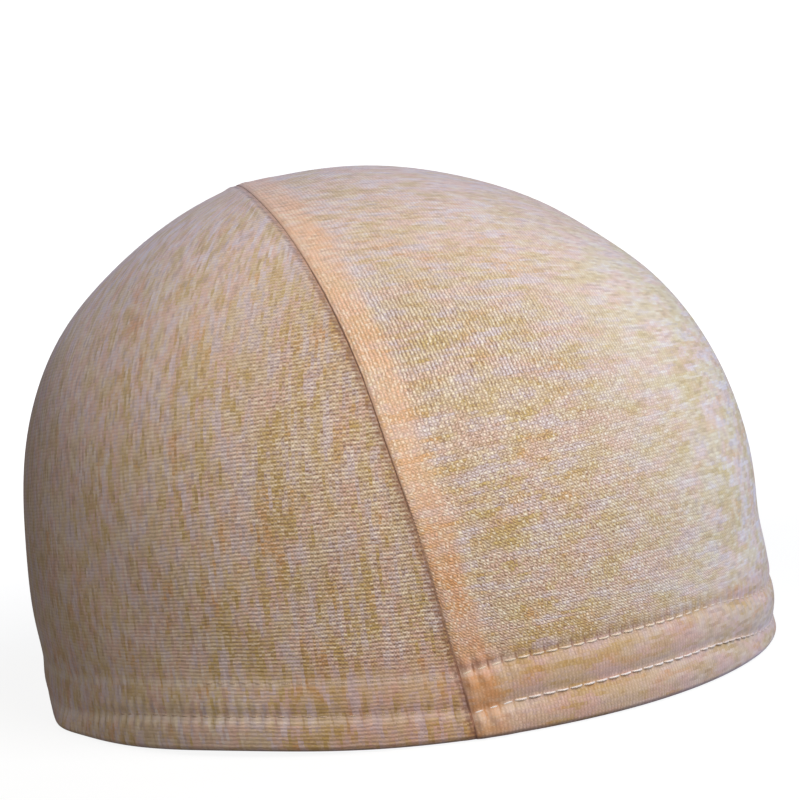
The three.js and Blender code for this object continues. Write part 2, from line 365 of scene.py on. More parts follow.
def panel_columns():
    """Lengths around the rim: fine next to both seams, close at the front, wider at the back."""
    front = graded(*BESIDE_SEAM, (120, 0.66), (PANEL_RIM - 5, 0.98))
    back = PANEL_RIM - graded(*BESIDE_SEAM)[::-1]
    return np.concatenate([front, back[1:]])


FOLD = HEM_WALL / 2
FOLD_ROWS = graded((0.12, 0.06), (0.36, 0.12), (FOLD, 0.28))
UPPER_ROWS = graded((19.5, 0.5), (27, 0.7), (60, 1.6), (MERIDIAN - 4, 2.3), (MERIDIAN, 1.0))
PANEL_ROWS = np.concatenate([FOLD_ROWS, UPPER_ROWS[UPPER_ROWS > FOLD + 0.1]])
print("rows on each side of the fold:", len(PANEL_ROWS))

# %% [markdown]
# ## The grain of the knit
#
# Jersey is knitted in courses, rows of loops, which stack up into wales, the fine ribs. The two
# panels are cut at right angles to each other. On the left the wales run around the crown, and on
# the right they run up along the seam.

# %% Spacing of the knit, in millimetres
WALE_LEFT = 0.82
WALE_RIGHT = 0.8
COURSE_LEFT = 0.735
COURSE_RIGHT = 0.665
CORNER_POWER = 5.0


def left_grain(across, along):
    """Wales count the distance from the rim, dipping to the side; courses fan out from the top."""
    fraction = np.hypot(across, along)
    rim = (1 - fraction) * MERIDIAN
    turn = np.arctan2(along, -across)
    swing = np.abs(turn + np.radians(80))
    dip = 14 * smooth(rim, 0, 55) * (1 - np.cos(np.minimum(swing, np.pi / 2)))
    spread = (ring_radius(fraction) ** 4 + 0.45 ** 4) ** 0.25
    return (rim + dip) / WALE_LEFT, 91.5 * spread * (turn + np.radians(60)) / COURSE_LEFT


def right_grain(across, along, fraction, angle):
    """Wales keep to the seam, closer over the crown; courses cross it, level near the rim."""
    rim = (1 - fraction) * MERIDIAN
    ahead = rim_length(angle) * ring_radius(fraction)
    behind = (PANEL_RIM - rim_length(angle)) * ring_radius(fraction)
    over = np.maximum((across - seam_shift(along)) * MERIDIAN, 0) * 1.05
    near = sum((length + 1) ** -CORNER_POWER for length in (ahead, behind, over))
    near = near ** (-1 / CORNER_POWER)
    lean = 4.3 * np.sin(np.pi / 2 * np.clip(rim / 62, 0, 1))
    level = smooth(fraction, 0.08, 0.78)
    reach = level * fraction + (1 - level) * np.sqrt(along ** 2 + 0.02 ** 2)
    closer = 1 + 0.16 * smooth(rim, 45, 105)
    turned = np.minimum(np.abs(angle + np.pi / 2), np.abs(angle - np.pi / 2))
    dip = 11 * smooth(rim, 0, 55) * (1 - np.cos(turned)) * level
    return (near - lean) * closer / WALE_RIGHT, ((1 - reach) * MERIDIAN + dip) / COURSE_RIGHT


# %% Build the closed skin of a panel
def panel_skin(name, side):
    """Rows go from the pole down the outside, around the fold and up the inside to the pole."""
    columns, rows = panel_columns()[None, :], PANEL_ROWS
    angle = rim_angle(columns)
    arc = np.clip(1 - rows / FOLD, 0, 1)
    edge = FOLD * (1 - np.sqrt(1 - arc ** 2))
    wall = HEM_WALL + (WALL - HEM_WALL) * smooth(rows, HEM_WIDTH, HEM_WIDTH + 0.9)
    down = rows[:0:-1]
    profile = np.concatenate([down, rows])
    depth = np.concatenate([edge[:0:-1], wall - edge])
    face = np.concatenate([np.ones(len(down)), -np.ones(len(rows))])
    depth[len(down)] = FOLD
    fraction = (1 - profile / MERIDIAN)[:, None]
    point, distance, rim = outer_face(side, fraction, angle, depth[:, None])
    point[..., 2] = np.maximum(point[..., 2], 0)
    across, along = panel_chart(side, fraction, angle)
    if side == RIGHT:
        wale, course = right_grain(across, along, fraction, angle)
    else:
        wale, course = left_grain(across, along)
    place = np.stack([distance, rim * face[:, None]], -1)
    over_row = np.where(face[:, None] > 0, rim - stitch_row(side, UPPER, columns), -INSIDE)
    stitch = np.stack(np.broadcast_arrays(columns / STITCH_PITCH, over_row), -1)
    grain = np.stack(np.broadcast_arrays(wale, course), -1)

    count, width = distance.shape
    index = np.arange(count * width).reshape(count, width)
    index[0], index[-1] = index[0, 0], index[-1, 0]
    a, b, c, d = index[:-1, :-1], index[:-1, 1:], index[1:, 1:], index[1:, :-1]
    body = np.stack([a, b, c, d], -1)[1:-1].reshape(-1, 4)
    caps = np.concatenate([
        np.stack([a[0], c[0], d[0]], -1),
        np.stack([a[-1], b[-1], c[-1]], -1),
    ])
    half = (count - 1) // 2
    up = np.arange(half)
    ladder = []
    for column, turned in ((0, False), (width - 1, True)):
        line = index[:, column]
        rung = np.stack([line[up], line[up + 1], line[count - 2 - up], line[count - 1 - up]], -1)
        ladder.append(rung[:, ::-1] if turned else rung)
    tips = np.array([[index[half - 1, 0], index[half, 0], index[half + 1, 0]]])
    quads = np.concatenate([body, *(rung[:-1] for rung in ladder)])
    last = width - 1
    far_tip = [index[half + 1, last], index[half, last], index[half - 1, last]]
    triangles = np.concatenate([caps, tips, [far_tip]])
    points = point.reshape(-1, 3)
    quads, triangles = face_outwards(points, quads, triangles)
    used, fresh = np.unique(np.concatenate([quads.ravel(), triangles.ravel()]), return_inverse=True)
    quads, triangles = fresh[:quads.size].reshape(-1, 4), fresh[quads.size:].reshape(-1, 3)
    maps = {"grain": grain, "place": place, "stitch": stitch}
    maps = {key: values.reshape(-1, 2)[used] for key, values in maps.items()}
    return new_piece(name, points[used], quads, triangles, maps)


left_cloth = panel_skin("left_panel_cloth", LEFT)
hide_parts("left_panel")
right_cloth = panel_skin("right_panel_cloth", RIGHT)
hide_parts("right_panel")

# %% [markdown]
# ## The seam allowance
#
# Inside the cap the spare cloth of both panels lies doubled under the right panel, overlocked
# along its free edge. It is one closed band that follows the seam from hem to hem.

# %% The doubled strip along the seam
ALLOWANCE_START = 0.3
ALLOWANCE_WIDTH = 7.4
ALLOWANCE_TOP = WALL + 0.35
ALLOWANCE_THICKNESS = 1.5
ALLOWANCE_REACH = 1 - 18.6 / MERIDIAN
HIDDEN = (30, -60)


def allowance_point(step, distance, depth):
    """A point under the right panel, at a place along the seam (-1 to 1) and a distance from it."""
    along = ALLOWANCE_REACH * step
    fraction = np.maximum(np.hypot(seam_shift(along), along), 1e-3)
    across = seam_shift(along) + distance * fraction / (HALF_WIDTH * ring_radius(fraction))
    height = seam_ridge(from_rim(across, along), distance) - depth
    return crown_point(across, along) + height[..., None] * crown_normal(across, along)


def strip_skin(name):
    """An oval section carried along the seam: wide and flat, round-edged, slightly ruffled."""
    steps = np.linspace(-1, 1, 361)[:, None]
    turn = np.linspace(0, 2 * np.pi, 41)[:-1][None, :]
    run = steps * ALLOWANCE_REACH * MERIDIAN
    ruffle = 0.18 * np.sin(run / 4.1) + 0.12 * np.sin(run / 1.9 + 1)
    shape = np.sign(np.cos(turn)) * np.abs(np.cos(turn)) ** 0.45
    distance = ALLOWANCE_START + ALLOWANCE_WIDTH * (0.5 - 0.5 * shape) * (1 + 0.02 * ruffle)
    swell = np.sign(np.sin(turn)) * np.abs(np.sin(turn)) ** 0.55
    lift = ruffle * smooth(distance, 3, 7.5) * 0.5
    depth = ALLOWANCE_TOP + ALLOWANCE_THICKNESS * (0.5 - 0.5 * swell) + np.abs(lift)
    point = allowance_point(steps, distance, depth)
    count, width = distance.shape
    index = np.arange(count * width).reshape(count, width)
    beside = np.roll(index, -1, axis=1)
    quads = np.stack([index[:-1], beside[:-1], beside[1:], index[1:]], -1).reshape(-1, 4)
    ends = point[[0, -1]].mean(axis=1)
    points = np.concatenate([point.reshape(-1, 3), ends])
    low, high = count * width, count * width + 1
    triangles = np.concatenate([
        np.stack([beside[0], index[0], np.full(width, low)], -1),
        np.stack([index[-1], beside[-1], np.full(width, high)], -1),
    ])
    quads, triangles = face_outwards(points, quads, triangles)
    values = {
        "grain": (distance / WALE_RIGHT, run / COURSE_RIGHT + 400),
        "place": (distance + HIDDEN[0], run * 0 + HIDDEN[1]),
        "stitch": (distance * 0, run * 0 - INSIDE),
    }
    maps = {}
    for key, pair in values.items():
        pair = np.stack(np.broadcast_arrays(*pair), -1).reshape(-1, 2)
        maps[key] = np.concatenate([pair, pair[[0, -1]]])
    return new_piece(name, points, quads, triangles, maps)


allowance = strip_skin("seam_allowance_cloth")
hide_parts("seam_allowance")

# %% [markdown]
# ## The threads
#
# Two needles leave two rows of straight stitches outside the hem, and a looper thread zigzags
# between them inside, over the cut edge. The allowance has a thread that loops around its edge.
# Each thread is a tube of a few sides carried along its path. A stitch arches out between two
# holes and dives into the cloth at both.

# %% A tube along many paths at once
STITCH_START = 3.3


def tubes(name, paths, out, radius, sides=6):
    """Paths of (stitches, points, 3), each point with a way out and a ring of sides around it."""
    ahead = np.gradient(paths, axis=1)
    ahead /= np.linalg.norm(ahead, axis=-1, keepdims=True)
    beside = np.cross(ahead, out)
    beside /= np.linalg.norm(beside, axis=-1, keepdims=True)
    above = np.cross(beside, ahead)
    turn = np.linspace(0, 2 * np.pi, sides, endpoint=False)
    ring = np.cos(turn)[:, None] * beside[:, :, None] + np.sin(turn)[:, None] * above[:, :, None]
    size = np.broadcast_to(radius, paths.shape[1:2])
    points = paths[:, :, None] + ring * size[None, :, None, None]
    stitches, count = paths.shape[:2]
    index = np.arange(stitches * count * sides).reshape(stitches, count, sides)
    beside_index = np.roll(index, -1, axis=2)
    quads = np.stack([
        index[:, :-1], index[:, 1:], beside_index[:, 1:], beside_index[:, :-1],
    ], -1).reshape(-1, 4)
    tips = points.size // 3 + np.arange(2 * stitches).reshape(2, stitches, 1)
    start = np.stack(np.broadcast_arrays(index[:, 0], beside_index[:, 0], tips[0]), -1)
    end = np.stack(np.broadcast_arrays(beside_index[:, -1], index[:, -1], tips[1]), -1)
    triangles = np.concatenate([start.reshape(-1, 3), end.reshape(-1, 3)])
    points = np.concatenate([points.reshape(-1, 3), paths[:, 0], paths[:, -1]])
    steps = np.linalg.norm(np.diff(paths, axis=1, prepend=paths[:, :1]), axis=-1)
    along = np.cumsum(steps, axis=1)[:, :, None] + np.arange(stitches)[:, None, None] * STITCH_START
    along = np.broadcast_to(along, index.shape)
    around = np.broadcast_to(np.arange(sides) / sides, index.shape)
    twist = np.stack([along, around], -1).reshape(-1, 2)
    twist = np.concatenate([twist, twist[index[:, 0, 0]], twist[index[:, -1, 0]]])
    quads, triangles = face_outwards(points, quads, triangles)
    return new_piece(name, points, quads, triangles, {"twist": twist})


# %% The two rows of hem stitching on each panel
THREAD = 0.23
SIDE_SINK = {RIGHT: 0.45, LEFT: 0.6}
SEAM_SINK = 0.42
SEAM_GAP = 0.08
random = np.random.default_rng(7)


def hem_stitches(name, side, which, sink, deepens):
    """Each stitch spans a pitch less its hole, arched by a sine and dipped at both ends."""
    count = round(PANEL_RIM / STITCH_PITCH)
    start = np.arange(count) * STITCH_PITCH + random.uniform(-0.12, 0.12, count)
    t = 0.5 - 0.5 * np.cos(np.pi * np.linspace(0, 1, 11))
    around = start[:, None] + STITCH_PITCH * (0.1 + 0.8 * t)[None, :]
    slant = random.uniform(-0.1, 0.1, (count, 1)) * (t - 0.5) + 0.06 * np.sin(around / 5.3)
    fraction = 1 - (stitch_row(side, which, around) + slant) / MERIDIAN
    angle = rim_angle(around)
    point, _, _ = outer_face(side, fraction, angle)
    across, along = panel_chart(side, fraction, angle)
    out = crown_normal(across, along)
    arch = np.clip(np.sin(np.pi * t), 0, 1) ** 0.16
    from_ends = np.minimum(around, PANEL_RIM - around)
    at_side = SIDE_SINK[side] * smooth(from_ends, deepens, deepens + 22)
    at_seam = SEAM_SINK * (1 - smooth(from_ends, 7, 13))
    sunk = np.maximum(np.maximum(sink, at_side), at_seam)
    lift = arch * (THREAD + 0.06) - (1 - arch) * 0.35 - sunk
    path = point + lift[..., None] * out
    path[..., 0] += side * SEAM_GAP
    piece = tubes(name, path, out, THREAD * (0.75 + 0.25 * np.sin(np.pi * t)))
    return piece


hem_threads = []
for side, panel, sinks in ((RIGHT, "right", (0.0, 0.17)), (LEFT, "left", (0.46, 0.46))):
    for which, row, sink, deepens in zip((LOWER, UPPER), ("lower", "upper"), sinks, (72, 40)):
        name = f"{panel}_{row}_hem_stitches"
        hem_threads.append(hem_stitches(name, side, which, sink, deepens))

# %% The looper thread inside the hem, and the thread around the allowance's edge
LOOPER_THREAD = 0.19
OVERLOCK_THREAD = 0.16
OVERLOCK_LOOPS = 196


def looper(name, side):
    """A zigzag between the two rows, on the inner face: one crossing for each stitch, bowed."""
    count = round(PANEL_RIM / STITCH_PITCH) * 2 - 2
    start = (np.arange(count) + 1) * STITCH_PITCH / 2
    t = np.linspace(0, 1, 7)
    around = start[:, None] + STITCH_PITCH / 2 * t
    forward = (np.arange(count) % 2 == 0)[:, None]
    low = stitch_row(side, LOWER, around) - 0.4
    high = stitch_row(side, UPPER, around) + 0.9
    climb = np.where(forward, t, 1 - t)
    row = low + (high - low) * climb
    angle = rim_angle(around)
    fraction = 1 - row / MERIDIAN
    across, along = panel_chart(side, fraction, angle)
    out = crown_normal(across, along)
    depth = HEM_WALL + 0.12 + 0.1 * np.sin(np.pi * t)
    path = crown_point(across, along) - depth[None, :, None] * out
    path[..., 0] += side * SEAM_GAP
    piece = tubes(name, path, out, LOOPER_THREAD, sides=5)
    return piece


looper_right = looper("right_hem_looper_thread", RIGHT)
looper_left = looper("left_hem_looper_thread", LEFT)


def overlock(name):
    """Loops over the allowance: across its upper face, around the free edge and back underneath."""
    t = np.linspace(0, 1, 15)
    step = -1 + 2 / OVERLOCK_LOOPS * (np.arange(OVERLOCK_LOOPS)[:, None] + 0.1 + 0.8 * t)
    swing = np.sin(np.pi * t)
    distance = ALLOWANCE_START + 2.6 + (ALLOWANCE_WIDTH - 2.45) * swing ** 0.8
    middle = ALLOWANCE_TOP + ALLOWANCE_THICKNESS / 2
    depth = middle - (ALLOWANCE_THICKNESS / 2 + 0.1) * np.cos(np.pi * t)
    path = allowance_point(step, distance, depth)
    centre = allowance_point(step, ALLOWANCE_WIDTH / 2, middle)
    out = path - centre
    out /= np.linalg.norm(out, axis=-1, keepdims=True)
    piece = tubes(name, path, out, OVERLOCK_THREAD, sides=5)
    return piece


edge_thread = overlock("allowance_overlock_thread")

# %% [markdown]
# ## Shader maths in plain Python
#
# A long formula in nodes is hard to read. One small class wraps a socket, so that a formula is
# written as Python and each sign adds its Math node. Any other node comes from one method.

# %% A wire that can be added, multiplied and divided
FULL_TURN = 6.2832


class Wire:
    """A value on its way through a material; numbers may stand on either side of a sign."""

    def __init__(self, tree, socket=None):
        self.tree, self.socket = tree, socket

    def node(self, kind, settings=None, sockets=None, output=0):
        """Add a node: its type, settings, the values or wires of its sockets, and the output."""
        node = self.tree.nodes.new(kind)
        for key, value in (settings or {}).items():
            setattr(node, key, value)
        for key, value in (sockets or {}).items():
            if isinstance(value, Wire):
                self.tree.links.new(value.socket, node.inputs[key])
            elif value is not None:
                node.inputs[key].default_value = value
        return Wire(self.tree, node.outputs[output])

    def math(self, operation, *values):
        return self.node("ShaderNodeMath", {"operation": operation}, dict(enumerate(values)))

    def __add__(self, other):
        return self.math("ADD", self, other)

    def __sub__(self, other):
        return self.math("SUBTRACT", self, other)

    def __mul__(self, other):
        return self.math("MULTIPLY", self, other)

    def __truediv__(self, other):
        return self.math("DIVIDE", self, other)

    def __pow__(self, other):
        return self.math("POWER", self, other)

    def __radd__(self, other):
        return self.math("ADD", other, self)

    def __rsub__(self, other):
        return self.math("SUBTRACT", other, self)

    def __rmul__(self, other):
        return self.math("MULTIPLY", other, self)

    def part(self):
        """What is left of a value past the last whole number."""
        return self.math("FRACT", self)

    def whole(self):
        """The last whole number below a value."""
        return self.math("FLOOR", self)

    def size(self):
        """The value without its sign."""
        return self.math("ABSOLUTE", self)

    def wave(self):
        """A wave that is 1 halfway between whole numbers and -1 at them."""
        return self.math("COSINE", self * FULL_TURN) * -1.0

    def step(self, low, high):
        """A smooth step from 0 at low to 1 at high."""
        sockets = {"Value": self, "From Min": low, "From Max": high}
        return self.node("ShaderNodeMapRange", {"interpolation_type": "SMOOTHSTEP"}, sockets)

    def colour(self, first, second):
        """A colour that goes from the first to the second as this value goes from 0 to 1."""
        settings = {"data_type": "RGBA", "clamp_factor": True}
        return self.node("ShaderNodeMix", settings, {0: self, 6: first, 7: second}, 2)

    def tinted(self, tint):
        """This colour multiplied by another."""
        settings = {"data_type": "RGBA", "blend_type": "MULTIPLY"}
        return self.node("ShaderNodeMix", settings, {0: 1.0, 6: self, 7: tint}, 2)

    def noise(self, x, y, z=0.0, detail=2.0, rough=0.5):
        """Soft noise at a place given by three values."""
        place = self.node("ShaderNodeCombineXYZ", None, {0: x, 1: y, 2: z})
        sockets = {"Vector": place, "Scale": 1.0, "Detail": detail, "Roughness": rough}
        return self.node("ShaderNodeTexNoise", {"noise_dimensions": "3D"}, sockets)

    def speckle(self, x, y):
        """A random value for each pair of whole numbers."""
        place = self.node("ShaderNodeCombineXYZ", None, {0: x, 1: y})
        return self.node("ShaderNodeTexWhiteNoise", {"noise_dimensions": "2D"}, {"Vector": place})

    def split(self):
        """The first two parts of a vector, as two wires."""
        first = self.node("ShaderNodeSeparateXYZ", None, {0: self})
        return first, Wire(self.tree, first.socket.node.outputs[1])

    def map(self, name):
        """The two values that a mesh holds in one of its maps."""
        return self.node("ShaderNodeUVMap", {"uv_map": name}).split()


def new_material(name):
    """An empty material, its graph and its output socket."""
    material = bpy.data.materials.new(name)
    material.use_nodes = True
    tree = material.node_tree
    tree.nodes.clear()
    output = tree.nodes.new("ShaderNodeOutputMaterial")
    return material, Wire(tree), output.inputs["Surface"]


def tone(red, green, blue):
    """A colour named by its 8-bit screen values, as the linear values that a shader takes."""
    channel = np.array([red, green, blue]) / 255
    linear = np.where(channel <= 0.04045, channel / 12.92, ((channel + 0.055) / 1.055) ** 2.4)
    return (*(float(c) for c in linear), 1.0)


# %% [markdown]
# ## The heathered jersey
#
# The loops of a wale repeat with every course, so the face shows columns of fine V shapes. The
# height of the yarn is that pattern, from the grain map. It drives a bump, a painted shade that
# darkens the holes between loops, and painted glints on the loops' tops. The colour of the yarn is
# noise, long along a course and short across it: some changes from course to course, and some
# spans several. Cream, lilac and pink fibres lie under ochre and orange ones.

# %% Shades of the fibres, and of painted shade and glint
CREAM = tone(234, 213, 181)
LILAC = tone(234, 220, 229)
PINK = tone(239, 206, 192)
OCHRE = tone(215, 186, 104)
ORANGE = tone(232, 176, 108)
PEACH = tone(255, 206, 170)
APRICOT = tone(238, 175, 124)
# The last five are painted: shade in the holes, at the needle holes and in the seam's groove and
# lip, and glints on the loops
HOLE_SHADE = tone(146, 112, 86)
SEAM_SHADE = tone(160, 118, 98)
SEAM_GROOVE_SHADE = tone(222, 178, 150)
SEAM_LIP_SHADE = tone(140, 107, 90)
GLINT = tone(255, 250, 240)


# %% Where the look of the cloth changes, each from and to
FRONT_FADE = (0.05, 0.088)
SIDE_FADE = (0.025, 0.055)
PLAIN_SIDE, PALE_SIDE = (0.015, 0.045), (0.05, 0.07)
HEM_FADE = (13.0, 20.0)
UPPER_FADE = (50.0, 85.0)
CROWN_FADE = (85.0, 120.0)
BESIDE_FADE = (18.0, 50.0)
OBJECT_OUTPUT = 3
DEPTH_PACE = 40.0


class ClothPlace:
    """Wires that say where a point of the cloth lies; the last six are shares from 0 to 1."""

    def __init__(self, graph):
        self.graph = graph
        self.wales, self.courses = graph.map("grain")
        self.seam, self.rim = graph.map("place")
        self.pitch, self.over_row = graph.map("stitch")
        self.sideways, ahead = graph.node("ShaderNodeTexCoord", None, None, OBJECT_OUTPUT).split()
        self.depth = ahead * DEPTH_PACE
        self.near = ahead.size().step(*FRONT_FADE)
        self.aside = self.sideways.size().step(*SIDE_FADE)
        self.hem = 1.0 - self.rim.step(*HEM_FADE)
        self.upper = self.rim.step(*UPPER_FADE)
        self.crown = self.rim.step(*CROWN_FADE)
        self.far_from_seam = self.seam.size().step(*BESIDE_FADE)
        self.crisp = (0.3 + 0.7 * self.near) * (1.0 - 0.28 * self.aside) * (1.0 - 0.5 * self.hem)


# %% [markdown]
# The two panels are one cloth in two directions, so one recipe makes both, and a short list holds
# what differs: the strength of ribs, rows and beads, the size of the spots, the depth of the
# painted shade in the holes, and the tint at the front, the sides and the crown.

# %% What differs from cloth to cloth
LEFT_KNIT = {
    "wale": WALE_LEFT, "course": COURSE_LEFT, "ribs": 0.58, "rows": 0.0, "beads": 0.42,
    "spots": (0.132, 0.435), "single_threads": 0.24, "holes": 0.74, "speck_shade": 0.3,
    "speck_glints": 0.72, "fibres": 0.35, "needle": 0.2, "band": False,
    "rows_at": STITCH_ROWS[LEFT], "crown_tint": (1.04, 1.045, 1.07, 1),
    "tint": (0.99, 0.945, 0.885, 1), "side_tint": (0.985, 0.935, 0.885, 1),
}
RIGHT_KNIT = {
    "wale": WALE_RIGHT, "course": COURSE_RIGHT, "ribs": 0.16, "rows": 0.4, "beads": 0.55,
    "spots": (0.11, 0.38), "single_threads": 0.16, "holes": 0.88, "speck_shade": 0.15,
    "speck_glints": 0.66, "fibres": 0.3, "needle": 0.6, "band": True,
    "rows_at": STITCH_ROWS[RIGHT], "crown_tint": (1.0, 0.985, 0.92, 1),
    "tint": (1.015, 1.01, 0.965, 1), "side_tint": (1.01, 1.035, 0.985, 1),
}
ALLOWANCE_KNIT = {
    **LEFT_KNIT, "wale": WALE_RIGHT, "course": COURSE_RIGHT,
    "ribs": 0.24, "rows": 0.34, "beads": 0.42, "needle": 0.0,
    **dict.fromkeys(("tint", "side_tint", "crown_tint"), (0.98, 0.9, 0.84, 1)),
}


# %% The height of the yarn
def raise_loops(at, knit):
    """A wave across the ribs, one along them, and their product; both sway a little with noise."""
    graph = at.graph
    wobble = (graph.noise(at.wales * 0.12, at.courses * 0.12, at.depth, 1.0) - 0.5) * 0.9
    sway = (graph.noise(at.wales * 0.8, at.courses * 0.6, 3.0, 1.0) - 0.5) * (1.0 - knit["ribs"])
    jump = graph.noise(at.wales * 0.6, at.courses * 0.8, 11.0, 1.0) - 0.5
    at.rib, at.row = at.wales + wobble * 0.8 + sway, at.courses + wobble + jump
    ribs, rows, beads, lean = knit["ribs"], knit["rows"], knit["beads"], 0.0
    if knit["band"]:
        ribs = ribs + 0.5 * at.upper + 0.2 * at.hem
        rows = rows * (1.0 - 0.6 * at.upper) * (1.0 - 0.7 * at.hem)
        beads = beads * (1.0 - 0.4 * at.upper) * (1.0 - 0.5 * at.hem)
        lean = 0.35 * (1.0 - at.rim.step(38.0, 58.0)) * (1.0 - at.hem)
    else:
        ribs = ribs + 0.1 * at.hem
        beads = beads * (1.0 - 0.85 * at.far_from_seam) * (1.0 - 0.5 * at.hem)
    at.rib_wave, row_wave = at.rib.wave(), at.row.wave()
    leaning = (at.rib + 0.25).wave() * (at.row + 0.25).wave()
    relief = at.rib_wave * ribs + row_wave * rows + at.rib_wave * row_wave * beads
    at.height = 0.5 + 0.5 * (relief - leaning * lean)


# %% [markdown]
# Noise is read in steps of whole loops, so that a shade fills a loop and stops at its edge. Each
# layer has its own paces and start, so that no two are alike.

# %% Layers of noise: pace along a course, pace across it, and the two starts
PATCHES = (0.05, 0.08, 9.0, 0.0)
PINK_FIBRES = (0.12, 0.2, 31.0, 7.0)
ORANGE_FIBRES = (0.1, 0.16, 77.0, 5.0)
BAND_DYE = (0.3, 0.16, 13.0, 3.0)
FLECKS = (0.33, 1.2, 51.0, 0.0)


def layer(at, paces, detail=2.0, rough=0.5):
    """Noise at the millimetres along and across a course, each times its pace plus its start."""
    along_pace, across_pace, start, other_start = paces
    x, y = at.run * along_pace + start, at.climb * across_pace + other_start
    return at.graph.noise(x, y, at.depth, detail, rough)


# %% The shade of the yarn
def shade_yarn(at, knit):
    """Cream to pink, then lilac where the spots are low, ochre or orange where they are high."""
    loop_row = at.row.whole()
    at.run, at.climb = at.rib.whole() * knit["wale"], loop_row * knit["course"]
    at.speck = at.graph.speckle((at.rib * 2.0).whole(), loop_row)
    at.fibre = at.graph.speckle((at.rib * 4.0).whole(), (at.row * 2.0).whole())
    thread = at.graph.noise(at.run * 0.15 + loop_row * 7.13, loop_row * 3.71, at.depth * 0.4)
    spots = layer(at, (*knit["spots"], 0.0, 0.0), 4.0, 0.6)
    single = knit["single_threads"]
    mottle = thread * single + spots * (0.79 - single) + layer(at, PATCHES) * 0.21
    golden = (mottle + (at.speck - 0.5) * 0.06).step(0.5, 0.572)
    pale = (thread * 0.2 + spots * 0.8 + (at.speck - 0.5) * 0.08).step(0.5, 0.38)
    orange = layer(at, ORANGE_FIBRES).step(0.5, 0.7)
    if knit["band"]:
        golden = golden * (1.0 - 0.25 * at.rim.step(58.0, 90.0))
        pale = pale * (1.0 - 0.5 * at.hem)
        orange = orange + 0.8 * (1.0 - at.seam.step(6.0, 12.0))
    plain = 1.0 - 0.4 * at.sideways.step(*PLAIN_SIDE) + 0.4 * at.sideways.step(*PALE_SIDE)
    base = (layer(at, PINK_FIBRES).step(0.4, 0.62) + 0.4 * at.crown).colour(CREAM, PINK)
    base = (pale * (0.8 + 0.2 * at.near) * plain).colour(base, LILAC)
    return (golden * (0.64 + 0.16 * at.near) * plain).colour(base, orange.colour(OCHRE, ORANGE))


def dye_band(at, yarn):
    """The warm tone of the doubled cloth beside the seam, stronger and weaker by noise."""
    band = (1.0 - at.seam.step(5.0, BAND_WIDTH + 1.1)) * at.seam.step(-0.5, 0.3)
    band = band * at.rim.step(-1.0, 1.0)
    dyed = band * (0.46 + 0.36 * layer(at, BAND_DYE).step(0.35, 0.65)) * (1.0 - 0.35 * at.hem)
    return band, dyed.colour(yarn, at.rim.step(30.0, 62.0).colour(APRICOT, PEACH))


# %% Painted shade in the holes and painted glints on the loops
def light_loops(at, knit, yarn, band):
    """Painted shade and glints: flecks where the loops are too far off to show, shade in the holes
    where the yarn is low, then glints.
    """
    fleck, quiet = layer(at, FLECKS, 1.0), 1.0 - at.near * (1.0 - at.aside)
    # Flecks of painted shade and painted glint, where the loops are too far off to show
    yarn = (fleck.step(0.5, 0.72) * quiet * 0.28).colour(yarn, HOLE_SHADE)
    yarn = (fleck.step(0.5, 0.28) * quiet * 0.4).colour(yarn, GLINT)
    fibres = knit["fibres"] if band else knit["fibres"] * (1.0 - at.far_from_seam)
    # Painted shade in the holes between loops, and at random specks and fibres
    dark = (1.0 - at.height) ** 1.2 + at.speck.step(0.3, 0.05) * knit["speck_shade"]
    dark = dark + at.fibre.step(0.35, 0.1) * fibres
    if band:
        dark = dark * (1.0 - 0.34 * band)
    else:
        # Painted shade in the rib grooves of the left panel's fold beside the seam
        beside = 1.0 - (at.seam + 0.8).size().step(0.4, 1.2)
        dark = dark + (0.5 - 0.5 * at.rib_wave) * beside * 0.4
    yarn = (dark * at.crisp * knit["holes"]).colour(yarn, HOLE_SHADE)
    # Painted glints on the tops of the loops, at random specks and fibres
    bright = at.speck.step(0.6, 0.95) * knit["speck_glints"] + at.fibre.step(0.7, 1.0) * fibres
    return (bright * at.height * at.crisp).colour(yarn, GLINT)


# %% [markdown]
# A needle hole is a tick of painted shade where two stitches meet, and the cloth between two holes
# puffs up, with a painted glint where it catches the light. Along the seam a broken brown line of
# painted shade marks the groove between the panels, with ticks of painted shade at its own
# stitches beside it.

# %% Painted shade at the needle holes of the hem, and painted glints on its puffs
def mark_hem(at, knit, yarn):
    """Painted shade in ticks at each half pitch beside one row, and painted glints on the puffs
    between them on both rows.
    """
    lower, upper = knit["rows_at"]
    over_lower = at.over_row + (upper - lower)
    hole = ((at.pitch + 0.5).part() - 0.5).size().step(0.1, 0.03)
    ticks = ((at.over_row if knit["band"] else over_lower) - 0.6).size().step(1.1, 0.5)
    # Ticks of painted shade at the needle holes
    yarn = (hole * ticks * (1.0 - 0.8 * at.aside) * knit["needle"]).colour(yarn, SEAM_SHADE)
    puffs = at.over_row.size().step(1.3, 0.3) + (over_lower + 0.8).size().step(1.5, 0.3)
    if knit["band"]:
        puffs = puffs * (1.0 - at.seam.step(9.0, 15.0))
    # Painted glints on the puffs between the holes
    return (puffs * (0.6 - hole) * 0.5).colour(yarn, GLINT)


# %% The line of the seam, in painted shade
SEAM_STITCHES_PER_MM = 0.357


